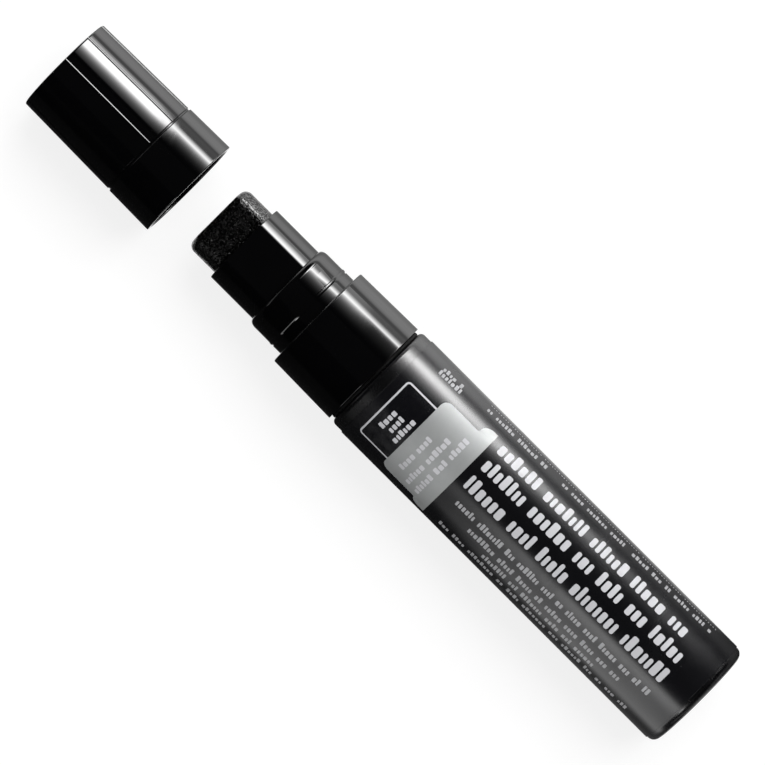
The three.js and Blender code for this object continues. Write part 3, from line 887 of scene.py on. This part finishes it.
tabRows = ((12.9, -9.7, 2.3), (15.5, -11.4, 4.1), (17.9, -11.6, 4.4))
sampleRows = ((5.0, -6.2, -0.5), (6.75, -5.5, -1.2), (8.55, -6.5, -0.2))
printing = {"thickness": 0.012, "strip": 0.4}


def roundedOutline(x0, x1, y0, y1, corner, steps=8):
    outline = []
    for x, y, start in ((x1 - corner, y1 - corner, 0), (x0 + corner, y1 - corner, 90),
                        (x0 + corner, y0 + corner, 180), (x1 - corner, y0 + corner, 270)):
        outline += roundCorner(x, y, corner, start, start + 90, steps)
    return outline


# The tab: a rounded block with a wider, round-shouldered part at its far end
def tabOutline():
    near, step, far, low, high, stepLow = pick(tab, "from step to low high stepLow")
    stepHigh, soft, small, reach = pick(tab, "stepHigh corner fillet reach")
    return [
        *roundCorner(near + soft, low + soft, soft, 180, 270),
        *roundCorner(step - small, low - small, small, 90, 0),
        *arc(step + reach, low - small, reach, low - small - stepLow, 180, 270), (far, stepLow), (far, stepHigh),
        *arc(step + reach, high + small, reach, stepHigh - high - small, 90, 180),
        *roundCorner(step - small, high + small, small, 0, -90),
        *roundCorner(near + soft, high - soft, soft, 90, 180),
    ]


# Groups of blocks along each row. upright rows run round the label.
def blockRows(rows, look, upright=False):
    chance = random.Random(look["seed"])
    outlines = []
    for baseline, start, end in rows:
        place = start
        while place + look["group"][0] * (look["width"][0] + look["gap"]) < end:
            for _ in range(chance.randint(*look["group"])):
                width = chance.uniform(*look["width"])
                height = look["tall"] if chance.random() < look["tallShare"] else look["height"]
                if place + width > end:
                    break
                outline = roundedOutline(place, place + width, baseline, baseline + height, look["corner"], 3)
                if upright:
                    outline = [(2 * baseline - up, along) for along, up in outline]
                outlines.append(outline)
                place += width + look["gap"]
            place += look["space"]
    return outlines


# A thin closed print from flat outlines, cut into strips so that it bends round the film
def printed(name, outlines, material, holes=(), lift=0.0):
    front, strip = ends("label_sleeve")[0], printing["strip"] * mm
    shape = bmesh.new()
    laid = lambda outline: [shape.verts.new(((front + x) * mm, y * mm, lift * mm)) for x, y in outline]
    for outline in outlines:
        shape.faces.new(laid(outline)).normal_update()
    for outer, inner in holes:
        bridgeRings(shape, [laid(outer), laid(inner)])
    ys = [vert.co.y for vert in shape.verts]
    cut = floor(min(ys) / strip) * strip
    while cut < max(ys):
        everything = shape.verts[:] + shape.edges[:] + shape.faces[:]
        bmesh.ops.bisect_plane(shape, geom=everything, plane_co=(0, cut, 0), plane_no=(0, 1, 0), dist=1e-8)
        cut += strip
    bmesh.ops.recalc_face_normals(shape, faces=shape.faces)
    raised = bmesh.ops.extrude_face_region(shape, geom=shape.faces[:])
    for item in raised["geom"]:
        if isinstance(item, bmesh.types.BMVert):
            item.co.z += printing["thickness"] * mm
    piece = finished(name, shape, material, sharpAngle=50)
    grown(piece, wrapTree, Radius=label["outer"] * mm, AxisHeight=axisHeight * mm, Material=material)
    installed(piece, "barrel", "label_film")


def makePrint():
    start, end, low, high, corner, line = pick(sample, "from to low high corner line")
    outside = roundedOutline(start, end, low, high, corner)
    inside = roundedOutline(start + line, end - line, low + line, high - line, corner - line)
    thickness = printing["thickness"]
    printed("sample_line", [], whiteInk, holes=[(outside, inside)])
    printed("sample_field", [inside], darkInk)
    printed("tip_tab", [tabOutline()], silverInk, lift=thickness)
    printed("bold_blocks", blockRows(boldRows, boldBlocks), whiteInk)
    printed("fine_blocks", blockRows(fineRows, fineBlocks) + blockRows(dotRows, dotBlocks), greyInk)
    printed("tab_blocks", blockRows(tabRows, upBlocks, upright=True), whiteInk, lift=2 * thickness)
    printed("sample_blocks", blockRows(sampleRows, upBlocks, upright=True), whiteInk, lift=thickness)


makePrint()
print("print made")

# Valve spring: a wound wire coil in place of the CAD spring

spring = {"wire": 0.5, "radius": 3.4, "curls": 7.0, "steps": 240, "sharpAngle": 50}


def makeSpring():
    low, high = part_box("valve_spring")
    wire = spring["wire"] * mm
    coil = grownPiece(
        "valve_coil", coilTree, spring["sharpAngle"], Front=low.x + wire / 2, Rise=high.x - low.x - wire,
        Radius=spring["radius"] * mm, Wire=wire, Curls=spring["curls"], Steps=spring["steps"], Material=brightSteel,
    )
    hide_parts("valve_spring")
    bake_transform(coil)


makeSpring()

# The other inner pieces keep their CAD shape
innerFinish = {
    "valve_housing": milkyPlastic, "valve_cage": milkyPlastic, "valve_stem": milkyPlastic,
    "valve_seat_ring": softRubber, "mixing_ball": brightSteel,
}
for node, finish in innerFinish.items():
    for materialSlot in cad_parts[node].material_slots:
        materialSlot.material = finish
print("inner pieces made")

# Floor, cards and lamps

studio = {
    "floorSize": 12.0, "floorColour": (0.86, 0.86, 0.86, 1), "floorOther": (0.84, 0.84, 0.84, 1),
    "floorGrain": 900.0, "floorGlow": 1.22, "glowShare": 0.65, "ambient": 0.4,
    "sunStrength": 1.9, "sunSpread": 50, "sunHeight": 52, "cardRadius": 0.3,
    "room": (0.02, 0.25, 0.8, 0.016),  # what reflections see: heights from and to, glow low and high
}


# A tree with nothing in it but its output
def emptiedTree(owner, output):
    owner.use_nodes = True
    owner.node_tree.nodes.clear()
    return owner.node_tree, owner.node_tree.nodes.new(output).inputs[0]


def makeFloor():
    shape = bmesh.new()
    bmesh.ops.create_grid(shape, x_segments=1, y_segments=1, size=studio["floorSize"] / 2)
    material = bpy.data.materials.new("paleFloor")
    tree, output = emptiedTree(material, "ShaderNodeOutputMaterial")
    seen = addNode(tree, "LightPath")
    paper = addNode(tree, "TexNoise", {"Scale": studio["floorGrain"], "Detail": 2.0})[0]
    shade = colourMix(tree, paper, studio["floorOther"], studio["floorColour"])
    matt = addNode(tree, "BsdfDiffuse", {"Color": shade})
    glow = addNode(tree, "Emission", {"Strength": studio["floorGlow"]})
    mirrored = calculate(tree, "MAXIMUM", seen["Is Camera Ray"], seen["Is Glossy Ray"])
    shown = calculate(tree, "MAXIMUM", mirrored, seen["Is Transmission Ray"])
    share = calculate(tree, "MULTIPLY", shown, studio["glowShare"])
    mixed = addNode(tree, "MixShader", {0: share, 1: matt[0], 2: glow[0]})
    tree.links.new(mixed[0], output)
    finished("floor", shape, material)


# A glowing card that only reflections see, so its glows are painted reflections and highlights. Its grid of glows
# is finest beside the marker.
cardPlaces = (-0.36, -0.28, -0.2, -0.16, *[0.003 * i for i in range(-45, 46)], 0.16, 0.2, 0.28, 0.36)


def makeCard(name, section, glowAt, rows=66):
    across = len(cardPlaces)
    points, glows = [], []
    for i in range(rows + 1):
        points += [(x, *section(i / rows)) for x in cardPlaces]
        glows += [glowAt(i / rows, x) for x in cardPlaces]
    starts = [i * across + j for i in range(rows) for j in range(across - 1)]
    mesh = bpy.data.meshes.new(name)
    mesh.from_pydata(points, [], [(k, k + 1, k + across + 1, k + across) for k in starts])
    mesh.attributes.new("glow", "FLOAT", "POINT").data.foreach_set("value", glows)
    material = bpy.data.materials.new(name)
    tree, output = emptiedTree(material, "ShaderNodeOutputMaterial")
    strength = addNode(tree, "Attribute", attribute_name="glow")["Fac"]
    tree.links.new(addNode(tree, "Emission", {"Strength": strength})[0], output)
    mesh.materials.append(material)
    card = linked(name, mesh)
    for ray in ("camera", "diffuse", "transmission", "volume_scatter", "shadow"):
        setattr(card, "visible_" + ray, False)


def ramp(value, low, high):
    share = min(max((value - low) / (high - low), 0), 1)
    return share * share * (3 - 2 * share)


def blendBetween(value, stops):
    for (a, first), (b, second) in zip(stops, stops[1:]):
        if value <= b:
            return first + (second - first) * min(max((value - a) / (b - a), 0), 1)
    return stops[-1][1]


# Glowing strip along the +Y side that only reflections see, painting the highlights: bright low down and fading
# upwards, taller beside the cap
paintedHighlightCard = {
    "angles": (-2.2, 63.8), "bright": 22, "veilFade": 10,
    "endFrom": ((-0.083, 54), (-0.079, 42)), "endTo": ((-0.083, 58), (-0.079, 63)),
    "veilAt": ((-0.082, 3.0), (-0.079, 1.2), (-0.06, 1.2), (-0.054, 3.2), (-0.022, 3.2), (-0.019, 1.6),
               (-0.003, 1.4), (0.0, 3.0)),
    "riseFrom": ((-0.082, -2), (-0.079, 9), (-0.056, 9), (-0.052, 2), (-0.032, 2), (-0.029, 7.5), (-0.003, 7.5),
                 (0.0, 2)),
    "riseTo": ((-0.082, 20), (-0.079, 24), (-0.003, 23.5), (0.0, 16)),
    "topAt": ((-0.082, 31.5), (-0.079, 22.5), (-0.022, 20.5), (-0.003, 19.5), (0.0, 25)),
    "fadeAt": ((-0.082, 5.5), (-0.079, 5.0), (-0.022, 5.2), (-0.019, 1.8), (-0.003, 1.8), (0.0, 6.5)),
    "alongAt": ((-0.125, 0.0), (-0.106, 1.0), (-0.004, 1.0), (0.0, 1.7), (0.006, 1.3), (0.01, 1.05), (0.035, 0.28),
                (0.07, 0.02), (0.085, 0.0)),
}
# Pale panel that only reflections see, painting a reflection along the -Y side of the tail, and a brighter patch
# beyond it that paints the glint on the neck bead
paintedTailReflectionCard = {
    "angles": (-2.2, 60), "bright": 2.4, "extra": 0.9, "extraFrom": (28, 48), "fade": (52, 60),
    "alongAt": ((0.028, 0.0), (0.06, 1.0), (0.108, 1.0), (0.12, 0.0)),
    "patch": 10, "patchFrom": (42, 50), "patchAt": ((0.13, 0.0), (0.15, 1.0), (0.23, 1.0), (0.25, 0.0)),
}


def angleAt(card, share):
    low, high = card["angles"]
    return low + (high - low) * share


def arcSection(card, side):
    def section(share):
        angle, radius = radians(angleAt(card, share)), studio["cardRadius"]
        return side * radius * cos(angle), axisHeight * mm + radius * sin(angle)
    return section


# Glow of the painted highlight strip at a share of the way up the card and a place along it
def paintedHighlightGlow(share, x):
    angle = angleAt(paintedHighlightCard, share)
    names = "riseFrom riseTo endFrom endTo topAt fadeAt veilAt alongAt"
    riseFrom, riseTo, endFrom, endTo, top, fade, veil, along = (
        blendBetween(x, stops) for stops in pick(paintedHighlightCard, names))
    over = max(angle - top, 0)
    strip = paintedHighlightCard["bright"] * ramp(angle, riseFrom, riseTo) * exp(-over / fade)
    veil *= exp(-over / paintedHighlightCard["veilFade"])
    return (strip + veil) * (1 - ramp(angle, endFrom, endTo)) * along


# Glow of the painted tail reflection and of the painted bead glint
def paintedTailReflectionGlow(share, x):
    angle = angleAt(paintedTailReflectionCard, share)
    lift = 1 + paintedTailReflectionCard["extra"] * ramp(angle, *paintedTailReflectionCard["extraFrom"])
    panel = paintedTailReflectionCard["bright"] * lift * blendBetween(x, paintedTailReflectionCard["alongAt"])
    patch = paintedTailReflectionCard["patch"] * ramp(angle, *paintedTailReflectionCard["patchFrom"]) * blendBetween(x, paintedTailReflectionCard["patchAt"])
    return (panel + patch) * (1 - ramp(angle, *paintedTailReflectionCard["fade"]))


# Sheets on the table that only reflections see: on the +Y side a painted pool of light, on the -Y side a dark sheet
# that paints the marker's shadow, apart from the tail's end
sheets = {
    "near": 0.0125, "reach": 0.45, "height": 0.0003,
    "paleAlong": ((0.005, 1.0), (0.028, 0.65), (0.052, 0.3), (0.072, 0.22), (0.08, 0.12)),
    "paleAcross": ((0.0125, 0.25), (0.02, 0.6), (0.03, 1.5), (0.045, 2.2), (0.065, 2.2), (0.1, 0.9), (0.2, 1.1),
                   (0.5, 1.3)),
    "beside": 0.6, "besideFade": (0.016, 0.024), "besideFrom": (0.0, 0.02), "besideTo": (0.07, 0.078),
    # dark is the glow of the painted shadow; tailNear and tailFar paint reflected light towards the tail's end
    "dark": 0.02, "tailNear": 0.12, "tailFar": 2.0, "tailFrom": (0.03, 0.07),
}


def sheetPlace(share):
    return sheets["near"] + sheets["reach"] * share ** 2


def sheetSection(side):
    return lambda share: (side * sheetPlace(share), sheets["height"])


# Painted pool of light, dimmer close to the marker where its shade falls, with a painted strip of light beside it
def paintedLightPoolGlow(share, x):
    y = sheetPlace(share)
    alongside = ramp(x, *sheets["besideFrom"]) * (1 - ramp(x, *sheets["besideTo"]))
    beside = sheets["beside"] * (1 - ramp(y, *sheets["besideFade"])) * alongside
    return blendBetween(y, sheets["paleAcross"]) * blendBetween(x, sheets["paleAlong"]) + beside


# Painted shadow of the marker on the -Y side, with painted reflected light towards the tail's end
def paintedShadowGlow(share, x):
    tail = sheets["tailNear"] + sheets["tailFar"] * ramp(sheetPlace(share), *sheets["tailFrom"])
    return sheets["dark"] + tail * blendBetween(x, paintedTailReflectionCard["alongAt"])


def makeLamps():
    sun = bpy.data.lights.new("softSun", "SUN")
    sun.energy = studio["sunStrength"]
    sun.angle = radians(studio["sunSpread"])
    lamp = linked("softSun", sun)
    lamp.rotation_euler = (radians(-(90 - studio["sunHeight"])), 0, 0)
    lamp.visible_glossy = False
    scene.world = bpy.data.worlds.new("paleRoom")
    tree, output = emptiedTree(scene.world, "ShaderNodeOutputWorld")
    seen = addNode(tree, "LightPath")
    direction = addNode(tree, "SeparateXYZ", {0: addNode(tree, "TexCoord")["Generated"]})
    room = mapped(tree, direction[2], *studio["room"], interpolation_type="SMOOTHSTEP")
    shown = calculate(tree, "MAXIMUM", seen["Is Camera Ray"], seen["Is Transmission Ray"])
    plain = numberMix(tree, shown, studio["ambient"], 1.0)
    strength = numberMix(tree, seen["Is Glossy Ray"], plain, room)
    glow = addNode(tree, "Background", {"Color": (1, 1, 1, 1), "Strength": strength})
    tree.links.new(glow[0], output)


view = {"sensor": 36, "lens": 346, "nearest": 0.05, "farthest": 40, "place": (0.00032, 0, 1.356734), "turn": 45}


def makeCamera():
    camera = bpy.data.cameras.new("photoCamera")
    camera.sensor_width, camera.lens = view["sensor"], view["lens"]
    camera.clip_start, camera.clip_end = view["nearest"], view["farthest"]
    stand = linked("photoCamera", camera)
    stand.location = view["place"]
    stand.rotation_euler = (0, 0, radians(view["turn"]))
    scene.camera = stand


makeFloor()
# Cards and sheets that only reflections see paint the highlights, the reflections and the marker's shadow on the
# table
makeCard("paintedHighlightCard", arcSection(paintedHighlightCard, 1), paintedHighlightGlow)
makeCard("paintedTailReflectionCard", arcSection(paintedTailReflectionCard, -1), paintedTailReflectionGlow)
makeCard("paintedLightPoolSheet", sheetSection(1), paintedLightPoolGlow)
makeCard("paintedShadowSheet", sheetSection(-1), paintedShadowGlow)
makeLamps()
makeCamera()
scene.view_settings.view_transform = "Standard"
print("studio made")
